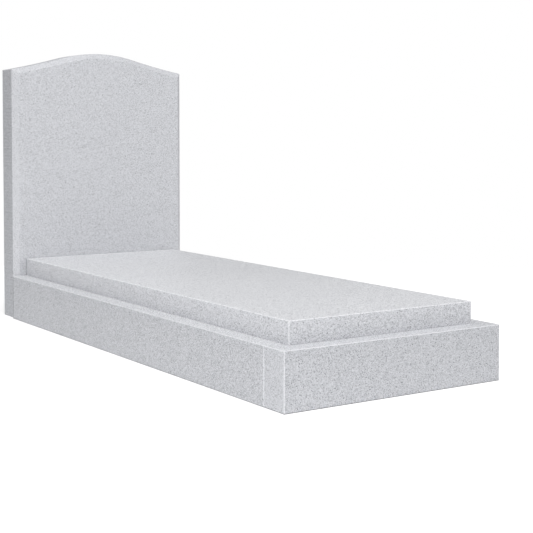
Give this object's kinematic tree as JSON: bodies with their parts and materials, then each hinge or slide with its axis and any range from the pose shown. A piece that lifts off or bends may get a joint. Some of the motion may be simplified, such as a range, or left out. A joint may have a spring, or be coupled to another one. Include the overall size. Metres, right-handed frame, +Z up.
{
  "type": "granite kerb memorial",
  "caption": "Granite memorial with a curved-top upright headstone, a low kerb round the other sides and a flat cover slab lying on the kerb.",
  "frame": {"origin": "the middle of the footprint at ground level, under the centre of the whole set", "axes": "+Z up; +X across the memorial, to the right of someone at the foot who looks at the headstone's face; +Y along it, from the foot kerb towards the headstone"},
  "size_m": [0.762, 1.98, 1.035],
  "materials": {
    "headstone_granite": "fine-grained pale blue-grey granite, honed to a matt surface",
    "kerb_granite": "fine-grained pale blue-grey granite, honed to a matt surface",
    "slab_granite": "fine-grained pale blue-grey granite, honed to a matt surface"
  },
  "bodies": {
    "root": {"headstone": "headstone_granite", "kerb_foot": "kerb_granite", "kerb_left": "kerb_granite", "kerb_right": "kerb_granite", "cover_slab": "slab_granite"}
  },
  "joints": []
}
